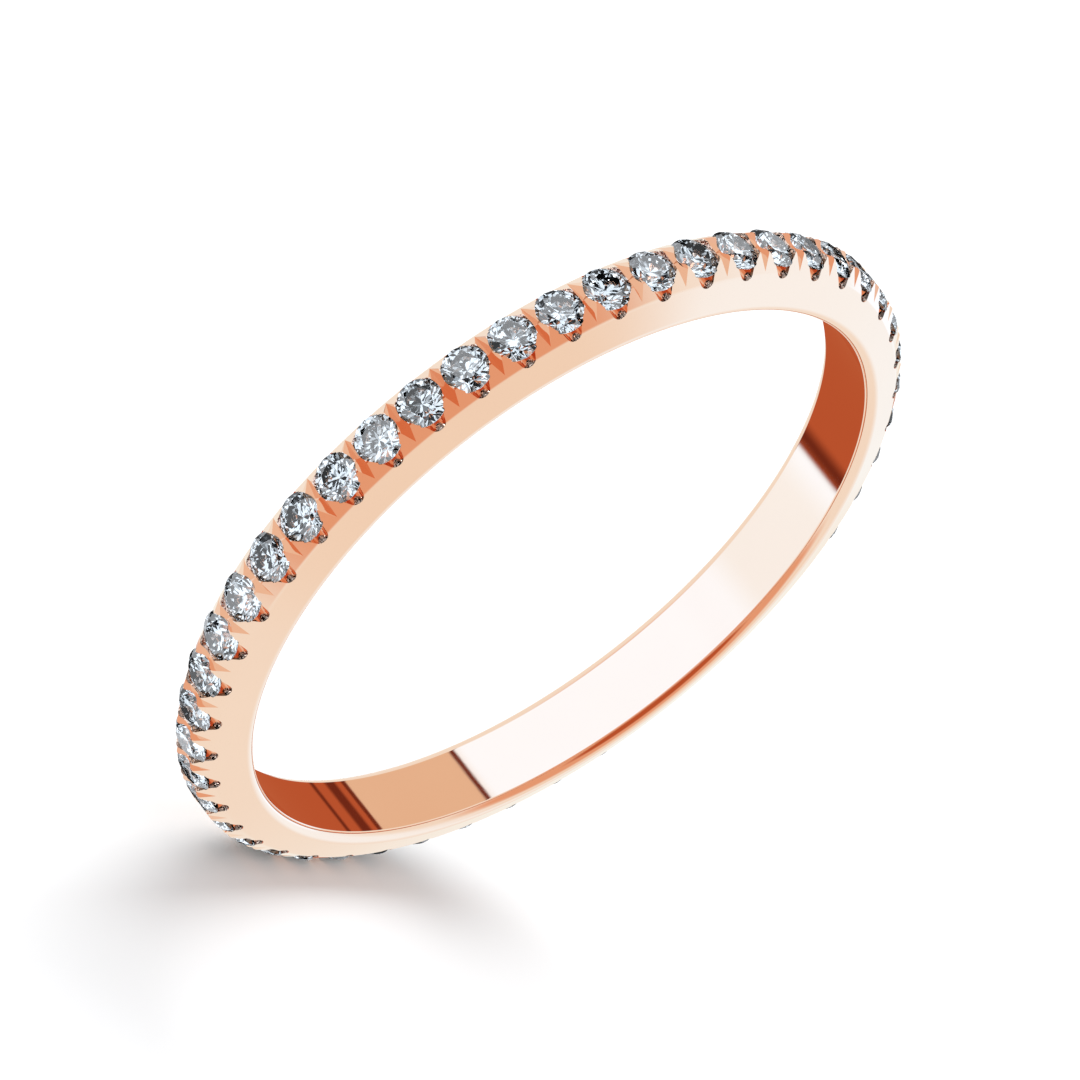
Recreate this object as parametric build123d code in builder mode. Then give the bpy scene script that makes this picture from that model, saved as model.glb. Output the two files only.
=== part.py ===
"""Wedding band: a slim polished rose gold ring with one row of round brilliants.

The row runs round the outside of the ring and stops short of a plain length, which is left for
sizing. Each stone sits in its own cone-shaped seat. A rounded scallop is cut into both side walls
beside every stone, and a fishtail groove between neighbours splits the metal into small prongs,
four to a stone, which lip over the edge of its crown.

Frame: millimetres, +Z up. The origin is the centre of the finger bore and the bore's axis is Y,
so the ring stands on its edge like a wheel. Angles round the ring start at +X and turn to +Z.
"""
import os
from math import cos, radians, sin, tan

from build123d import *

# Band
finger_diameter = 17.0
top_radius = 9.84              # tips of the prongs
plain_radius = 9.73            # outside of the plain length
crest_radius = 9.45            # the side walls lean in gently up to here, and then bevel off
finger_width = 2.16            # side to side at the finger, before its edges are rounded
crest_width = 1.38
top_width = 0.66
inner_edge_radius = 0.20
crest_edge_radius = 0.30
outer_edge_radius = 0.08

# Row of stones
places = 47                    # equal places round the whole circle
plain_places = 5               # of which this many in a row carry no stone
plain_middle_angle = -16.0     # middle of the plain length, degrees from +X towards +Z
row_end_reach = 0.69           # raised metal beyond an end stone, in places
girdle_plane_radius = 9.64     # from the bore's axis to the middle of a stone's girdle

# Round brilliant
stone_diameter = 1.20
table_ratio = 0.57
crown_angle = 34.5
pavilion_angle = 40.8
girdle_thickness = 0.03
star_length = 0.5              # star facet's share of the way from table to girdle
lower_half_length = 0.77       # lower half facet's share of the way from girdle to culet
mains = 8

# Seat and cuts
seat_clearance = 0.004
seat_angle = 41.4              # a little steeper than the pavilion, so that the stone clears it
lip_height = 0.036             # how far the prong lip climbs the crown
lip_overlap = 0.030            # how far it covers the girdle
pilot_diameter = 0.30          # drill hole under the seat
pilot_depth = 0.66             # below the girdle plane
scallop_floor_radius = 0.22
scallop_flare = 28.0           # lean of each flank from the stone's axis
scallop_depth = 0.27           # below the girdle plane
scallop_start = 0.50           # from the stone's centre, along the finger axis
fishtail_angle = 56.0          # between the groove's two faces
fishtail_fall = 8.0           # the groove runs down and out over the wall at this slope
fishtail_top = 0.03           # groove's floor below the girdle plane, in mid-band
overcut = 0.5                  # how far a cutting shape stands clear of the metal

finger_radius = finger_diameter / 2
place_angle = 360 / places
stone_count = places - plain_places
first_stone_angle = plain_middle_angle + (plain_places + 1) / 2 * place_angle
stone_angles = [first_stone_angle + n * place_angle for n in range(stone_count)]
groove_angles = [angle - place_angle / 2 for angle in stone_angles]
groove_angles.append(stone_angles[-1] + place_angle / 2)
plain_arc = (plain_places + 1 - 2 * row_end_reach) * place_angle
stone_radius = stone_diameter / 2
table_radius = stone_radius * table_ratio
half_girdle = girdle_thickness / 2


def setting_plane(angle):
    """Plane at the girdle's height: its normal points outwards and its x runs along the finger."""
    outwards = Vector(cos(radians(angle)), 0, sin(radians(angle)))
    return Plane(origin=outwards * girdle_plane_radius, x_dir=(0, 1, 0), z_dir=outwards)


def polar_point(radius, azimuth, height):
    """Point on a stone, with the azimuth in degrees round the stone's own axis."""
    return Vector(radius * cos(radians(azimuth)), radius * sin(radians(azimuth)), height)


def facet_plane(first, second, third):
    """Plane through three points of a facet, its normal pointing out of the stone."""
    normal = (second - first).cross(third - first)
    if normal.dot(first + second + third) < 0:
        normal = normal * -1
    return Plane(origin=first, z_dir=normal)


def half_facets(main_azimuth, side, corner_radius, edge_height, corner_height):
    """Plane of the half facet between a main facet and the girdle, on one side of the main."""
    corner_azimuth = main_azimuth + side * 180 / mains
    return facet_plane(
        polar_point(stone_radius, main_azimuth, edge_height),
        polar_point(corner_radius, corner_azimuth, corner_height),
        polar_point(stone_radius, corner_azimuth, edge_height),
    )


def brilliant_facets():
    """All facet planes of the stone but its table, with the girdle's middle at the origin."""
    step = 360 / mains
    inset = cos(radians(step / 2))
    crown_slope = tan(radians(crown_angle))
    pavilion_slope = tan(radians(pavilion_angle))
    table_height = half_girdle + (stone_radius - table_radius) * crown_slope
    star_radius = table_radius * inset + star_length * (stone_radius - table_radius * inset)
    star_height = half_girdle + (stone_radius - star_radius * inset) * crown_slope
    lower_radius = stone_radius * (1 - lower_half_length)
    lower_height = -half_girdle - (stone_radius - lower_radius * inset) * pavilion_slope
    planes = []
    for number in range(mains):
        azimuth = number * step
        outwards = polar_point(1, azimuth, 0)
        for edge_height, slope in ((half_girdle, crown_angle), (-half_girdle, pavilion_angle)):
            rise = cos(radians(slope)) if edge_height > 0 else -cos(radians(slope))
            normal = outwards * sin(radians(slope)) + Vector(0, 0, rise)
            planes.append(Plane(polar_point(stone_radius, azimuth, edge_height), z_dir=normal))
        planes.append(facet_plane(
            polar_point(table_radius, azimuth, table_height),
            polar_point(table_radius, azimuth + step, table_height),
            polar_point(star_radius, azimuth + step / 2, star_height),
        ))
        for side in (-1, 1):
            planes.append(half_facets(azimuth, side, star_radius, half_girdle, star_height))
            planes.append(half_facets(azimuth, side, lower_radius, -half_girdle, lower_height))
    return table_height, planes


table_height, facets = brilliant_facets()

with BuildPart() as brilliant:
    with BuildSketch(Plane.XY.offset(-stone_radius)):
        Circle(stone_radius)
    extrude(amount=stone_radius + table_height)
    for facet in facets:
        split(bisect_by=facet, keep=Keep.BOTTOM)

# Everything cut away for one stone: its seat, the pilot hole under it and both side scallops
seat_radius = stone_radius + seat_clearance
seat_depth = seat_radius * tan(radians(seat_angle)) + half_girdle
lip_radius = stone_radius - lip_overlap
# A scallop's flanks touch its round floor here, measured from the middle of that round
flank_foot = scallop_floor_radius * cos(radians(scallop_flare))
flank_drop = scallop_floor_radius * sin(radians(scallop_flare))

with BuildPart() as stone_cut:
    with BuildSketch(Plane.XZ):
        with BuildLine():
            Polyline(
                (0, -seat_depth),
                (seat_radius, -half_girdle),
                (seat_radius, half_girdle),
                (lip_radius, half_girdle + lip_height),
                (lip_radius, overcut),
                (0, overcut),
                close=True,
            )
        make_face()
    revolve(axis=Axis.Z)
    with BuildSketch(Plane.XY.offset(-pilot_depth)):
        Circle(pilot_diameter / 2)
    extrude(amount=pilot_depth)
    with BuildSketch(Plane.YZ.offset(scallop_start)):
        with Locations((0, scallop_floor_radius - scallop_depth)):
            Circle(scallop_floor_radius)
            Polygon(
                (flank_foot, -flank_drop),
                (flank_foot + overcut * tan(radians(scallop_flare)), overcut - flank_drop),
                (-flank_foot - overcut * tan(radians(scallop_flare)), overcut - flank_drop),
                (-flank_foot, -flank_drop),
                align=None,
            )
    extrude(amount=overcut)
    mirror(about=Plane.YZ)

# The fishtail groove between two stones, falling away to both side walls
groove_half_width = overcut * tan(radians(fishtail_angle / 2))
groove_run = (cos(radians(fishtail_fall)), 0, -sin(radians(fishtail_fall)))

with BuildPart() as fishtail_cut:
    with BuildSketch(Plane(origin=(0, 0, -fishtail_top), x_dir=(0, 1, 0), z_dir=groove_run)):
        with BuildLine():
            Polyline(
                (0, 0),
                (groove_half_width, overcut),
                (-groove_half_width, overcut),
                close=True,
            )
        make_face()
    extrude(amount=finger_width)
    mirror(about=Plane.YZ)

with BuildPart() as band:
    with BuildSketch(Plane.XY) as section:
        with BuildLine():
            Polyline(
                (finger_radius, 0),
                (finger_radius, finger_width / 2),
                (crest_radius, crest_width / 2),
                (top_radius, top_width / 2),
                (top_radius, 0),
            )
            mirror(about=Plane.XZ)
        make_face()
        fillet(section.vertices().group_by(Axis.X)[1], radius=crest_edge_radius)
        fillet(section.vertices().group_by(Axis.X)[0], radius=inner_edge_radius)
        fillet(section.vertices().group_by(Axis.X)[-1], radius=outer_edge_radius)
    revolve(axis=Axis.Y)
    # The plain length stands lower than the prongs
    plain_start = Plane.XY.rotated((0, -(plain_middle_angle - plain_arc / 2), 0))
    with BuildSketch(plain_start):
        with Locations((plain_radius, 0)):
            Rectangle(overcut, finger_width, align=(Align.MIN, Align.CENTER))
    revolve(axis=Axis.Y, revolution_arc=-plain_arc, mode=Mode.SUBTRACT)
    with Locations(*[setting_plane(angle) for angle in stone_angles]):
        add(stone_cut.part, mode=Mode.SUBTRACT)
    with Locations(*[setting_plane(angle) for angle in groove_angles]):
        add(fishtail_cut.part, mode=Mode.SUBTRACT)

os.makedirs("parts", exist_ok=True)
band.part.label = "band"
export_step(band.part, "parts/band.step")

for number, angle in enumerate(stone_angles, start=1):
    with BuildPart() as diamond:
        with Locations(setting_plane(angle)):
            add(brilliant.part)
    diamond.part.label = f"diamond_{number:02d}"
    export_step(diamond.part, f"parts/diamond_{number:02d}.step")
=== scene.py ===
"""Wedding band, the looks: polished rose gold with a row of round brilliants, on a pale floor."""
from math import atan2, cos, degrees, hypot, pi, radians, sin, tan

import bmesh
import bpy
from mathutils import Matrix, Vector


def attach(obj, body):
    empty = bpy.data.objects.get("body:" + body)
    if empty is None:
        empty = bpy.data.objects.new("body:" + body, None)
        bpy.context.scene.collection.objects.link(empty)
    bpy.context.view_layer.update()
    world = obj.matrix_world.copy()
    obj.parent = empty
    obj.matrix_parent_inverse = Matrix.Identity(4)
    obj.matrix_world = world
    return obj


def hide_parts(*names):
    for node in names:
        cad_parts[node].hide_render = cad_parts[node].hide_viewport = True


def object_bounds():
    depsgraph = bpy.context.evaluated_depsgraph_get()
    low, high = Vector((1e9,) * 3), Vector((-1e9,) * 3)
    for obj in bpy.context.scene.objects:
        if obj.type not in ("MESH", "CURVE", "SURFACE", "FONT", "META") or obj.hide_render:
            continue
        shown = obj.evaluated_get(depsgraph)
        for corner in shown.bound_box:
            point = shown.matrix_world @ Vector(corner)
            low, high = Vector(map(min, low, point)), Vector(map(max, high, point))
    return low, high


MM = 0.001

# Camera, aimed at the ring's centre
AZIMUTH, ELEVATION, ROLL = radians(-60.95), radians(25.0), radians(38.49)
CAMERA_DISTANCE = 1.166
LENS, SENSOR = 1687.0, 36.0
SHIFT = (0.0005, 0.0056)

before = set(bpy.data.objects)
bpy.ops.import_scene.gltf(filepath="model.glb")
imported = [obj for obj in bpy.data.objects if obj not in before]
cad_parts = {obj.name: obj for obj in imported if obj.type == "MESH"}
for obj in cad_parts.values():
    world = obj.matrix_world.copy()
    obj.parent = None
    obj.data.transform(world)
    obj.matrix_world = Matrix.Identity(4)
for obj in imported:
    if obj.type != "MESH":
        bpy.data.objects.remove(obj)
cad_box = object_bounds()
diamonds = sorted(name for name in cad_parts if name.startswith("diamond"))


def material(name):
    """A new node material, with its Principled shader and a helper that adds nodes to it."""
    made = bpy.data.materials.new(name)
    made.use_nodes = True
    tree = made.node_tree

    def add(kind, **values):
        node = tree.nodes.new("ShaderNode" + kind)
        for key, value in values.items():
            setattr(node, key, value)
        return node

    return made, tree.nodes["Principled BSDF"], add, tree.links.new


def rose_gold():
    """Polished alloy: a faint drift of colour, fine handling marks and a slightly uneven polish."""
    made, shader, add, link = material("rose_gold")
    place = add("TexCoord")
    drift = add("TexNoise")
    drift.inputs["Scale"].default_value = 260.0
    drift.inputs["Detail"].default_value = 3.0
    colour = add("ValToRGB")
    colour.color_ramp.elements[0].color = (0.915, 0.655, 0.530, 1)
    colour.color_ramp.elements[1].color = (0.940, 0.695, 0.570, 1)
    marks = add("TexNoise")
    marks.inputs["Scale"].default_value = 2600.0
    marks.inputs["Detail"].default_value = 5.0
    marks.inputs["Distortion"].default_value = 1.2
    polish = add("MapRange")
    polish.inputs["To Min"].default_value = 0.02
    polish.inputs["To Max"].default_value = 0.06
    bump = add("Bump")
    bump.inputs["Strength"].default_value = 0.05
    bump.inputs["Distance"].default_value = 0.004 * MM
    link(place.outputs["Object"], drift.inputs["Vector"])
    link(place.outputs["Object"], marks.inputs["Vector"])
    link(drift.outputs["Fac"], colour.inputs["Fac"])
    link(colour.outputs["Color"], shader.inputs["Base Color"])
    link(marks.outputs["Fac"], polish.inputs["Value"])
    link(polish.outputs["Result"], shader.inputs["Roughness"])
    link(marks.outputs["Fac"], bump.inputs["Height"])
    link(bump.outputs["Normal"], shader.inputs["Normal"])
    shader.inputs["Metallic"].default_value = 1.0
    return made


def diamond():
    """Clear stone that bends light strongly, with a faint drift in its cool tint."""
    made, shader, add, link = material("diamond")
    place = add("TexCoord")
    haze = add("TexNoise")
    haze.inputs["Scale"].default_value = 1800.0
    tint = add("ValToRGB")
    tint.color_ramp.elements[0].color = (0.84, 0.93, 0.99, 1)
    tint.color_ramp.elements[1].color = (0.88, 0.95, 1.0, 1)
    link(place.outputs["Object"], haze.inputs["Vector"])
    link(haze.outputs["Fac"], tint.inputs["Fac"])
    link(tint.outputs["Color"], shader.inputs["Base Color"])
    shader.inputs["Roughness"].default_value = 0.0
    shader.inputs["IOR"].default_value = 2.417
    shader.inputs["Transmission Weight"].default_value = 1.0
    return made


gold, stone = rose_gold(), diamond()
for name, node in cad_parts.items():
    for place in node.material_slots:
        place.material = stone if name in diamonds else gold

# ---- The band, in millimetres until it is finished. The stone's own axes are the ones used for
# its cuts: X along the finger, Y along the row and Z outwards, with the origin at its girdle.
FINGER_RADIUS, CREST_RADIUS, TOP_RADIUS, PLAIN_RADIUS = 8.5, 9.45, 9.84, 9.73
FINGER_HALF, CREST_HALF, TOP_HALF = 1.08, 0.69, 0.33
FINGER_ROUND, CREST_ROUND, TOP_ROUND = 0.20, 0.30, 0.08
GIRDLE_RADIUS = 9.64
PLACES, PLAIN_PLACES, PLAIN_MIDDLE, ROW_END_REACH = 47, 5, -16.0, 0.69
HALF_GIRDLE = 0.015
SEAT_RADIUS, SEAT_ANGLE, LIP_RADIUS, LIP_HEIGHT = 0.604, 41.4, 0.57, 0.036
PILOT_RADIUS, PILOT_DEPTH = 0.15, 0.66
SCALLOP_RADIUS, SCALLOP_FLARE, SCALLOP_DEPTH, SCALLOP_START = 0.22, 28.0, 0.27, 0.50
GROOVE_ANGLE, GROOVE_FALL, GROOVE_TOP = 56.0, 8.0, 0.03
OVERCUT = 0.5                   # how far a cutter stands past the metal
PLAIN_CUTTER_HALF = 1.2
PLACE_ANGLE = 360 / PLACES
STEPS_PER_PLACE = 16
ROUND_STEPS = 10                # of each rounded corner of the section
SCALLOP_STEPS = 20              # of a scallop's arc
SEAT_SIDES = 48
BAND_FACE, CUT_FACE = 0, 1
SAME_PLACE = 1e-3               # degrees, or share of a normal
WELD = 2e-5
RIM_BEND = 0.02                 # radians within which a rim counts as straight
GROOVE_REACH = 0.63             # half width within which a groove has its root


def rounded_section():
    """Half the section from the finger outwards, as (point, outward normal) pairs.

    A point is (radius, half width), and the section's corners are rounded.
    """
    ends = [Vector(point) for point in (
        (FINGER_RADIUS, 0), (FINGER_RADIUS, FINGER_HALF), (CREST_RADIUS, CREST_HALF),
        (TOP_RADIUS, TOP_HALF), (TOP_RADIUS, 0))]
    roundings = (FINGER_ROUND, CREST_ROUND, TOP_ROUND)
    line = [(ends[0], Vector((-1, 0)))]
    for before, corner, after, rounding in zip(ends, ends[1:], ends[2:], roundings):
        into, out = (corner - before).normalized(), (after - corner).normalized()
        turn = into.angle(out)
        reach = rounding * tan(turn / 2)
        start = corner - into * reach
        normal_in, normal_out = Vector((-into.y, into.x)), Vector((-out.y, out.x))
        centre = start - normal_in * rounding
        for step in range(ROUND_STEPS + 1):
            normal = normal_in.slerp(normal_out, step / ROUND_STEPS)
            line.append((centre + normal * rounding, normal))
    line.append((ends[-1], Vector((1, 0))))
    return line


def whole_section():
    """The closed section, as (radius, y, normal radius part, normal y part)."""
    half = rounded_section()
    near = [(p.x, -p.y, n.x, -n.y) for p, n in half]
    far = [(p.x, p.y, n.x, n.y) for p, n in reversed(half[1:-1])]
    return near + far


def polar(radius, y, angle):
    return Vector((radius * cos(radians(angle)), y, radius * sin(radians(angle))))


def solid(name, corners, faces, kind):
    """Closed mesh object whose normals point out, with every face marked as that kind."""
    mesh = bpy.data.meshes.new(name)
    mesh.from_pydata([tuple(c) for c in corners], [], faces)
    shape = bmesh.new()
    shape.from_mesh(mesh)
    bmesh.ops.recalc_face_normals(shape, faces=shape.faces)
    for face in shape.faces:
        face.material_index = kind
    shape.to_mesh(mesh)
    shape.free()
    for _ in (BAND_FACE, CUT_FACE):
        mesh.materials.append(gold)
    made = bpy.data.objects.new(name, mesh)
    bpy.context.scene.collection.objects.link(made)
    return made


def swept(name, rings, kind, caps=True):
    """Solid through a list of rings that all have the same number of corners."""
    count = len(rings[0])
    faces = [(a * count + i, a * count + (i + 1) % count, (a + 1) * count + (i + 1) % count,
              (a + 1) * count + i) for a in range(len(rings) - 1) for i in range(count)]
    if caps:
        faces.append(tuple(range(count)))
        faces.append(tuple((len(rings) - 1) * count + i for i in range(count)))
    return solid(name, [corner for ring in rings for corner in ring], faces, kind)


def turned_band(name, start, end, steps):
    """Stretch of the uncut band between two angles."""
    section = whole_section()
    angles = [start + (end - start) * step / steps for step in range(steps + 1)]
    return swept(name, [[polar(r, y, a) for r, y, _, _ in section] for a in angles], BAND_FACE)


def at_setting(angle):
    """Where a stone's own axes lie when it is set at an angle round the ring."""
    outwards = polar(1, 0, angle)
    along = Vector((0, 1, 0))
    frame_axes = Matrix((along, outwards.cross(along), outwards)).transposed().to_4x4()
    return Matrix.Translation(outwards * GIRDLE_RADIUS) @ frame_axes


def seat_cutter():
    """Seat and pilot hole, turned round the stone's axis."""
    cone_rise = tan(radians(SEAT_ANGLE))
    floor_depth = -HALF_GIRDLE - (SEAT_RADIUS - PILOT_RADIUS) * cone_rise
    line = [(PILOT_RADIUS, -PILOT_DEPTH), (PILOT_RADIUS, floor_depth),
            (SEAT_RADIUS, -HALF_GIRDLE), (SEAT_RADIUS, HALF_GIRDLE),
            (LIP_RADIUS, HALF_GIRDLE + LIP_HEIGHT), (LIP_RADIUS, OVERCUT)]
    turns = [2 * pi * k / SEAT_SIDES for k in range(SEAT_SIDES)]
    rings = [[(r * cos(turn), r * sin(turn), z) for turn in turns] for r, z in line]
    return swept("seat_cutter", rings, CUT_FACE)


def scallop_cutter(side):
    """Scallop beside a stone: round below, with flanks that lean outwards."""
    flare = radians(SCALLOP_FLARE)
    middle = SCALLOP_RADIUS - SCALLOP_DEPTH
    outline = []
    for step in range(SCALLOP_STEPS + 1):
        turn = -pi + flare + (pi - 2 * flare) * step / SCALLOP_STEPS
        outline.append((SCALLOP_RADIUS * cos(turn), middle + SCALLOP_RADIUS * sin(turn)))
    foot = outline[-1]
    reach = foot[0] + OVERCUT * tan(flare)
    outline += [(reach, foot[1] + OVERCUT), (-reach, foot[1] + OVERCUT)]
    rings = [[(side * x, y, z) for y, z in outline]
             for x in (SCALLOP_START, SCALLOP_START + OVERCUT)]
    return swept("scallop_cutter", rings, CUT_FACE)


def groove_cutter():
    """Fishtail groove between two stones, falling away from mid-band to both sides."""
    fall = radians(GROOVE_FALL)
    half_width = OVERCUT * tan(radians(GROOVE_ANGLE / 2))
    reach = 2 * cos(fall)           # well past the widest part of the band
    rings = []
    for side in (-1, 0, 1):
        root = (side * reach, -GROOVE_TOP - abs(side) * reach * tan(fall))
        top = (root[0] + side * OVERCUT * sin(fall), root[1] + OVERCUT * cos(fall))
        if side == 0:
            top = (0, root[1] + OVERCUT / cos(fall))
        rings.append([(root[0], 0, root[1]), (top[0], half_width, top[1]),
                      (top[0], -half_width, top[1])])
    return swept("groove_cutter", rings, CUT_FACE)


def cut(target, cutters):
    """Takes the cutters out of the target one after another, and deletes them."""
    for cutter in cutters:
        step = target.modifiers.new("cut", "BOOLEAN")
        step.operation, step.solver, step.object = "DIFFERENCE", "EXACT", cutter
        bpy.context.view_layer.update()
        graph = bpy.context.evaluated_depsgraph_get()
        mesh = bpy.data.meshes.new_from_object(target.evaluated_get(graph))
        target.modifiers.clear()
        old = target.data
        target.data = mesh
        bpy.data.meshes.remove(old)
        bpy.data.objects.remove(cutter)


def placed(cutter, angle):
    cutter.data.transform(at_setting(angle))
    cutter.data.update()
    return cutter


def one_setting():
    """Band of one place round a stone at angle 0, with its cuts."""
    half = PLACE_ANGLE / 2
    place = turned_band("setting", -half, half, STEPS_PER_PLACE)
    cutters = [placed(seat_cutter(), 0)] + [placed(scallop_cutter(side), 0) for side in (-1, 1)]
    cutters += [placed(groove_cutter(), edge) for edge in (-half, half)]
    cut(place, cutters)
    return place


def plain_length():
    """The stretch without stones, its middle at angle 0: lower, and raised at both ends."""
    half = PLAIN_PLACES * PLACE_ANGLE / 2
    steps = PLAIN_PLACES * STEPS_PER_PLACE
    stretch = turned_band("plain", -half, half, steps)
    low = half + PLACE_ANGLE / 2 - ROW_END_REACH * PLACE_ANGLE
    inner, outer, side = PLAIN_RADIUS, PLAIN_RADIUS + OVERCUT, PLAIN_CUTTER_HALF
    corners = [(inner, -side), (outer, -side), (outer, side), (inner, side)]
    angles = [-low + 2 * low * step / steps for step in range(steps + 1)]
    rings = [[polar(r, y, a) for r, y in corners] for a in angles]
    cutters = [swept("plain_cutter", rings, CUT_FACE)]
    cutters += [placed(groove_cutter(), edge) for edge in (-half, half)]
    cut(stretch, cutters)
    return stretch


def without_ends(piece, half):
    """Deletes the two flat end caps, so that the pieces join into one skin."""
    shape = bmesh.new()
    shape.from_mesh(piece.data)

    def at_end(corner):
        return abs(abs(degrees(atan2(corner.co.z, corner.co.x))) - half) < SAME_PLACE

    def faces_along(face):
        return (abs(face.normal.y) < 0.5
                and abs(abs(face.normal.z) - cos(radians(half))) < SAME_PLACE)

    caps = [face for face in shape.faces
            if all(at_end(corner) for corner in face.verts) and faces_along(face)]
    bmesh.ops.delete(shape, geom=caps, context="FACES")
    # The cuts may leave extra corners on a groove's straight root, which the next piece lacks
    extra = []
    for corner in shape.verts:
        rim = [edge.other_vert(corner).co - corner.co
               for edge in corner.link_edges if edge.is_boundary]
        straight = (len(rim) == 2 and min(side.length for side in rim) > 0
                    and rim[0].angle(-rim[1]) < RIM_BEND)
        on_root = (CREST_RADIUS < corner.co.xz.length < GIRDLE_RADIUS
                   and abs(corner.co.y) < GROOVE_REACH)
        if straight and on_root:
            extra.append(corner)
    bmesh.ops.dissolve_verts(shape, verts=extra)
    shape.to_mesh(piece.data)
    shape.free()


def section_normal(point):
    """Exact outward normal of the uncut section next to a point of the band."""
    radius = hypot(point.x, point.z)
    best, found = None, None
    for (r0, y0, nr0, ny0), (r1, y1, nr1, ny1) in section_sides:
        side = Vector((r1 - r0, y1 - y0))
        share = Vector((radius - r0, point.y - y0)).dot(side) / side.length_squared
        share = max(0, min(1, share))
        gap = (radius - r0 - share * side.x) ** 2 + (point.y - y0 - share * side.y) ** 2
        if best is None or gap < best:
            best, found = gap, (nr0 + share * (nr1 - nr0), ny0 + share * (ny1 - ny0))
    outwards = Vector((point.x, 0, point.z)) / radius
    return (outwards * found[0] + Vector((0, found[1], 0))).normalized()


section_points = whole_section()
section_sides = list(zip(section_points, section_points[1:] + section_points[:1]))


def fine_band():
    """The whole band: its settings and the plain length, joined, with exact normals."""
    half = PLACE_ANGLE / 2
    setting, plain = one_setting(), plain_length()
    without_ends(setting, half)
    without_ends(plain, PLAIN_PLACES * half)
    shape = bmesh.new()
    first = PLAIN_MIDDLE + (PLAIN_PLACES + 1) * half
    turns = [(setting, first + n * PLACE_ANGLE) for n in range(PLACES - PLAIN_PLACES)]
    for piece, angle in turns + [(plain, PLAIN_MIDDLE)]:
        mesh = piece.data.copy()
        mesh.transform(Matrix.Rotation(radians(-angle), 4, "Y"))
        shape.from_mesh(mesh)
        bpy.data.meshes.remove(mesh)
    bmesh.ops.remove_doubles(shape, verts=shape.verts, dist=WELD)
    for piece in (setting, plain):
        bpy.data.objects.remove(piece)
    mesh = bpy.data.meshes.new("band_fine")
    shape.to_mesh(mesh)
    shape.free()
    known = {}
    normals = []
    for face in mesh.polygons:
        face.use_smooth = True
        for corner in face.vertices:
            if face.material_index == CUT_FACE:
                normals.append(face.normal.copy())
                continue
            if corner not in known:
                known[corner] = section_normal(mesh.vertices[corner].co)
            normals.append(known[corner])
        face.material_index = 0
    mesh.transform(Matrix.Scale(MM, 4))
    mesh.normals_split_custom_set(normals)
    mesh.materials.clear()
    mesh.materials.append(gold)
    made = bpy.data.objects.new("band_fine", mesh)
    bpy.context.scene.collection.objects.link(made)
    return made


band = fine_band()
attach(band, "root")
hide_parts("band")

# Floor under the lowest prongs
bpy.ops.mesh.primitive_plane_add(size=6.0, location=(0, 0, cad_box[0][2]))
floor = bpy.context.object
floor.name = "floor"
paper, shader, *_ = material("paper")
shader.inputs["Base Color"].default_value = (0.9, 0.9, 0.9, 1)
shader.inputs["Roughness"].default_value = 0.9
floor.data.materials.append(paper)
floor.visible_glossy = False
floor.visible_transmission = False

# Camera
back = Vector((sin(AZIMUTH) * cos(ELEVATION), -cos(AZIMUTH) * cos(ELEVATION), sin(ELEVATION)))
level = Vector((cos(AZIMUTH), sin(AZIMUTH), 0))
upright = back.cross(level)
right = level * cos(ROLL) + upright * sin(ROLL)
up = upright * cos(ROLL) - level * sin(ROLL)
camera_data = bpy.data.cameras.new("camera")
camera_data.lens, camera_data.sensor_width = LENS, SENSOR
camera_data.shift_x, camera_data.shift_y = SHIFT
camera_data.clip_start, camera_data.clip_end = 0.1, 10.0
camera = bpy.data.objects.new("camera", camera_data)
bpy.context.scene.collection.objects.link(camera)
turned = Matrix((right, up, back)).transposed().to_4x4()
camera.matrix_world = Matrix.Translation(back * CAMERA_DISTANCE) @ turned
bpy.context.scene.camera = camera

# Softbox above and behind the ring. Its light falls towards the camera side.
LIGHT_TOWARDS = Vector((0.442, 0.485, 0.755))
LIGHT_DISTANCE = 0.5
softbox_data = bpy.data.lights.new("softbox", "AREA")
softbox_data.shape, softbox_data.size, softbox_data.energy = "DISK", 0.40, 1.7
softbox = bpy.data.objects.new("softbox", softbox_data)
bpy.context.scene.collection.objects.link(softbox)
softbox.visible_glossy = False
turned = LIGHT_TOWARDS.to_track_quat("Z", "Y").to_matrix().to_4x4()
softbox.matrix_world = Matrix.Translation(LIGHT_TOWARDS * LIGHT_DISTANCE) @ turned

# World: plain white for the camera and the floor. The metal sees a white tent with cool, peach and
# dark orange cards, and the stones see grey cards. All are placed by direction from the ring.
MIX_SHARE, MIX_UNDER, MIX_OVER, MIX_RESULT = 0, 6, 7, 2     # sockets of a colour Mix node
world = bpy.data.worlds.new("studio")
bpy.context.scene.world = world
world.use_nodes = True
tree = world.node_tree
background = tree.nodes["Background"]


def node(kind, **values):
    made = tree.nodes.new("ShaderNode" + kind)
    for key, value in values.items():
        setattr(made, key, value)
    return made


def ramp_mask(source, low, high, soft):
    """1 where source lies between low and high, with soft edges."""
    edges = []
    for start, end in ((low - soft, low + soft), (high + soft, high - soft)):
        edge = node("MapRange", interpolation_type="SMOOTHSTEP")
        edge.inputs["From Min"].default_value = start
        edge.inputs["From Max"].default_value = end
        tree.links.new(source, edge.inputs["Value"])
        edges.append(edge.outputs["Result"])
    return product(edges)


def product(masks):
    """All the masks multiplied."""
    result = masks[0]
    for mask in masks[1:]:
        both = node("Math", operation="MULTIPLY")
        tree.links.new(result, both.inputs[0])
        tree.links.new(mask, both.inputs[1])
        result = both.outputs[0]
    return result


def layered(under, mask, over):
    """One colour laid over another where the mask is 1. A tuple is a plain colour."""
    mix = node("Mix", data_type="RGBA")
    tree.links.new(mask, mix.inputs[MIX_SHARE])
    for colour, socket in ((under, mix.inputs[MIX_UNDER]), (over, mix.inputs[MIX_OVER])):
        if isinstance(colour, tuple):
            socket.default_value = (*colour, 1)
        else:
            tree.links.new(colour, socket)
    return mix.outputs[MIX_RESULT]


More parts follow.
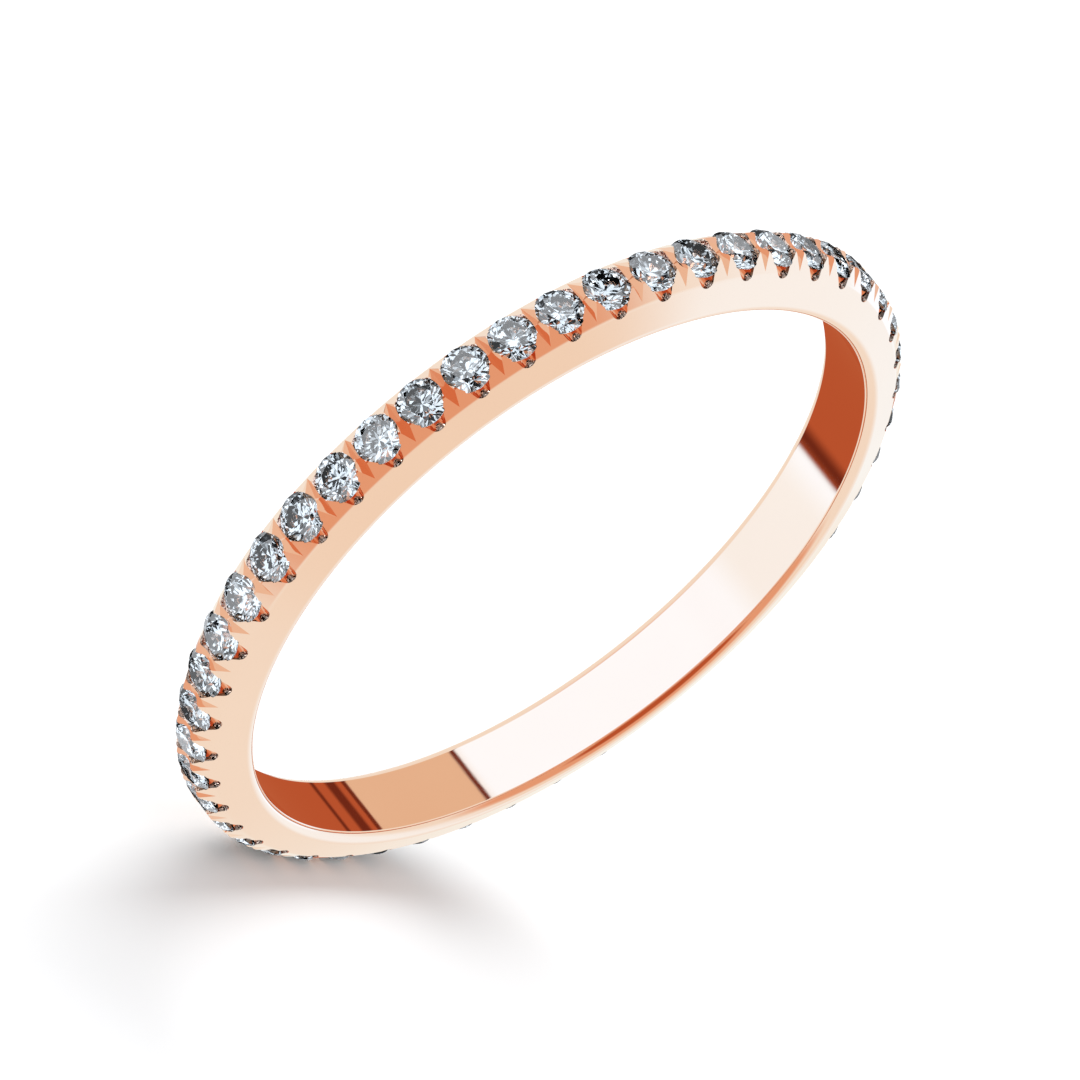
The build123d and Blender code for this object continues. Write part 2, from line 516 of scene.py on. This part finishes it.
direction = node("TexCoord").outputs["Generated"]
parts = node("SeparateXYZ")
tree.links.new(direction, parts.inputs[0])
across, along, height = parts.outputs


def toward(aim):
    """Cosine between a direction and an aim."""
    dot = node("VectorMath", operation="DOT_PRODUCT")
    dot.inputs[1].default_value = Vector(aim).normalized()
    tree.links.new(direction, dot.inputs[0])
    return dot.outputs["Value"]


# The bore always mirrors directions with the same share along the finger, so cards in that band
# of directions show only there. The side wall and the rim mirror the other side.
ANY = 2.0                               # past every direction's share
BORE_VIEW = ramp_mask(along, 0.37, 0.51, 0.02)
WALL_SIDE = ramp_mask(along, -ANY, 0.15, 0.08)
RIM_VIEW = ramp_mask(along, -0.20, 0.34, 0.05)
WALL_VIEW = (0.29, -0.94, -0.155)       # what the side wall mirrors at the middle of the row
TENT, COOL, COOLER = (0.97, 1.00, 0.94), (1.03, 1.26, 1.40), (1.08, 1.40, 1.68)
DEEP, PANEL, DUSK = (0.52, 0.12, 0.045), (0.85, 0.64, 0.46), (0.17, 0.03, 0.014)
PEACH, BLUSH = (0.84, 0.46, 0.29), (0.95, 0.91, 0.80)
CAP = (0.015, 0.015, 0.02)
EVERYWHERE = (-ANY, ANY)
CARDS = [  # (extra mask, range across, range in height, softness, colour)
    (WALL_SIDE, (0.48, ANY), (-0.40, 0.60), 0.25, COOL),
    (ramp_mask(toward(WALL_VIEW), 0.94, ANY, 0.05), EVERYWHERE, EVERYWHERE, 0, BLUSH),
    (ramp_mask(toward(back), 0.40, ANY, 0.18), EVERYWHERE, EVERYWHERE, 0, PEACH),
    (ramp_mask(toward(back), 0.86, ANY, 0.05), EVERYWHERE, EVERYWHERE, 0, DEEP),
    (RIM_VIEW, (0.90, ANY), (-0.17, 0.35), 0.04, COOLER),
    (BORE_VIEW, (-0.95, 0.03), (-0.85, ANY), 0.06, COOLER),
    (BORE_VIEW, (-0.95, -0.50), (-0.85, -0.20), 0.10, COOL),
    (BORE_VIEW, (0.05, 0.66), (0.40, ANY), 0.01, PANEL),
    (BORE_VIEW, (0.025, 0.055), (0.40, ANY), 0.01, DUSK),
    (BORE_VIEW, (0.655, ANY), (-0.50, 0.70), 0.01, DEEP),
    (BORE_VIEW, (0.650, 0.672), (0.40, 0.70), 0.006, DUSK),
    (BORE_VIEW, (0.700, 0.745), (0.30, 0.70), 0.010, DUSK),
    (BORE_VIEW, (0.790, 0.805), (0.20, 0.70), 0.006, DUSK),
    (BORE_VIEW, (-0.38, ANY), (-ANY, -0.20), 0.02, DEEP),
    (BORE_VIEW, (-0.37, -0.27), (-ANY, -0.60), 0.05, DUSK),
]
tent = TENT
for extra, across_range, height_range, soft, colour in CARDS:
    masks = [extra]
    if across_range != EVERYWHERE:
        masks.append(ramp_mask(across, *across_range, soft))
    if height_range != EVERYWHERE:
        masks.append(ramp_mask(height, *height_range, soft))
    tent = layered(tent, product(masks), colour)

# The stones see a tent of white, grey and black cards, which gives their facets contrast
GREYS = [(0.0, 0.015), (0.22, 0.20), (0.36, 0.62), (0.48, 1.45)]     # (position, grey)
cells = node("TexVoronoi")
cells.inputs["Scale"].default_value = 4.2
tree.links.new(direction, cells.inputs["Vector"])
cell_value = node("SeparateColor")
tree.links.new(cells.outputs["Color"], cell_value.inputs[0])
greys = node("ValToRGB")
greys.color_ramp.interpolation = "CONSTANT"
while len(greys.color_ramp.elements) < len(GREYS):
    greys.color_ramp.elements.new(0.5)
for stop, (where, grey) in zip(greys.color_ramp.elements, GREYS):
    stop.position = where
    stop.color = (grey * 0.96, grey, grey * 1.05, 1)
tree.links.new(cell_value.outputs[0], greys.inputs["Fac"])
black_cap = ramp_mask(toward(back), 0.965, ANY, 0.015)
stone_tent = layered(greys.outputs["Color"], black_cap, CAP)

# Only the stones are perfectly sharp, so singular rays are theirs
FLOOR_LIGHT, BACKDROP = (0.87, 0.88, 0.895), (1.0, 1.0, 1.0)
path = node("LightPath")
light = layered(tent, path.outputs["Is Singular Ray"], stone_tent)
light = layered(light, path.outputs["Is Diffuse Ray"], FLOOR_LIGHT)
light = layered(light, path.outputs["Is Camera Ray"], BACKDROP)
tree.links.new(light, background.inputs["Color"])
background.inputs["Strength"].default_value = 1.0
bpy.context.scene.view_settings.view_transform = "Standard"
